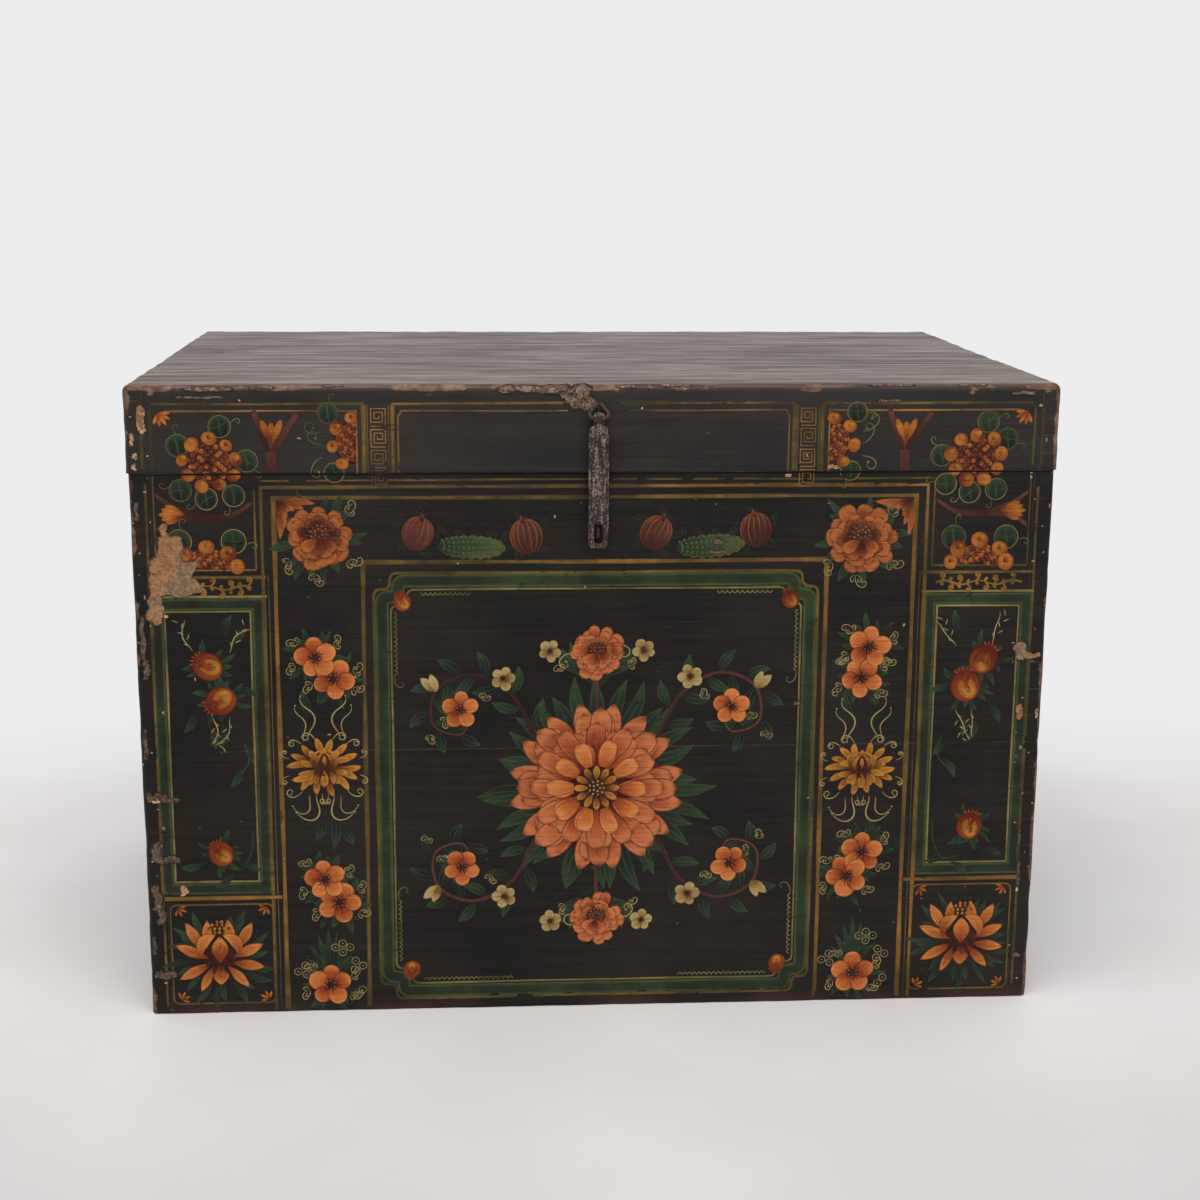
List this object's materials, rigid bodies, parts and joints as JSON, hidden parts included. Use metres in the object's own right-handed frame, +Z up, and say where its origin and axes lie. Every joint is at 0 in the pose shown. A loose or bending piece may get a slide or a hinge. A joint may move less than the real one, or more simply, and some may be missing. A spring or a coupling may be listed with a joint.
{
  "type": "storage trunk",
  "caption": "Black-lacquered plank trunk with a dovetailed box, lift-up lid on split-pin hinges and a hanging iron hasp over a padlock staple; front painted with framed flowers.",
  "frame": {"origin": "on the floor, under the middle of the trunk", "axes": "+X to the right along the front, +Y towards the back so that the painted front faces -Y, +Z up"},
  "size_m": [0.854, 0.5972, 0.6041],
  "materials": {
    "lacquered_wood": "worn black-brown lacquer outside, painted on the front; bare wood inside",
    "bare_wood": "planed and aged, no coat",
    "bamboo": "split and shaved round",
    "iron": "forged, pitted and rusted brown"
  },
  "bodies": {
    "chest": {"front_plank_lower": "lacquered_wood", "back_plank_lower": "lacquered_wood", "left_plank_lower": "lacquered_wood", "right_plank_lower": "lacquered_wood", "front_plank_upper": "lacquered_wood", "back_plank_upper": "lacquered_wood", "left_plank_upper": "lacquered_wood", "right_plank_upper": "lacquered_wood", "bottom_plank_front": "bare_wood", "bottom_plank_middle": "bare_wood", "bottom_plank_rear": "bare_wood", "bottom_batten_left": "bare_wood", "bottom_batten_right": "bare_wood", "front_dowel_1": "bamboo", "front_dowel_2": "bamboo", "front_dowel_3": "bamboo", "back_dowel_1": "bamboo", "back_dowel_2": "bamboo", "back_dowel_3": "bamboo", "left_dowel_1": "bamboo", "left_dowel_2": "bamboo", "right_dowel_1": "bamboo", "right_dowel_2": "bamboo", "hinge_left_chest_eye": "iron", "hinge_right_chest_eye": "iron", "padlock_staple": "iron"},
    "lid": {"lid_front_rail": "lacquered_wood", "lid_back_rail": "lacquered_wood", "lid_left_rail": "lacquered_wood", "lid_right_rail": "lacquered_wood", "lid_plank_front": "lacquered_wood", "lid_plank_middle": "lacquered_wood", "lid_plank_rear": "lacquered_wood", "lid_batten_left": "bare_wood", "lid_batten_right": "bare_wood", "lid_peg_front_1": "bamboo", "lid_peg_front_2": "bamboo", "lid_peg_front_3": "bamboo", "lid_peg_front_4": "bamboo", "lid_peg_rear_1": "bamboo", "lid_peg_rear_2": "bamboo", "lid_peg_rear_3": "bamboo", "lid_peg_rear_4": "bamboo", "lid_peg_left": "bamboo", "lid_peg_right": "bamboo", "hinge_left_lid_link": "iron", "hinge_right_lid_link": "iron", "hasp_loop": "iron"},
    "hasp": {"hasp_strap": "iron"}
  },
  "joints": [
    {"name": "lid_hinge", "type": "hinge", "parent": "chest", "child": "lid", "pos_m": [0, 0.2957, 0.515], "axis": [-1, 0, 0], "range_deg": [0, 105]},
    {"name": "hasp_swing", "type": "hinge", "parent": "lid", "child": "hasp", "pos_m": [0, -0.29, 0.5756], "axis": [-1, 0, 0], "range_deg": [-3.5, 165]}
  ]
}
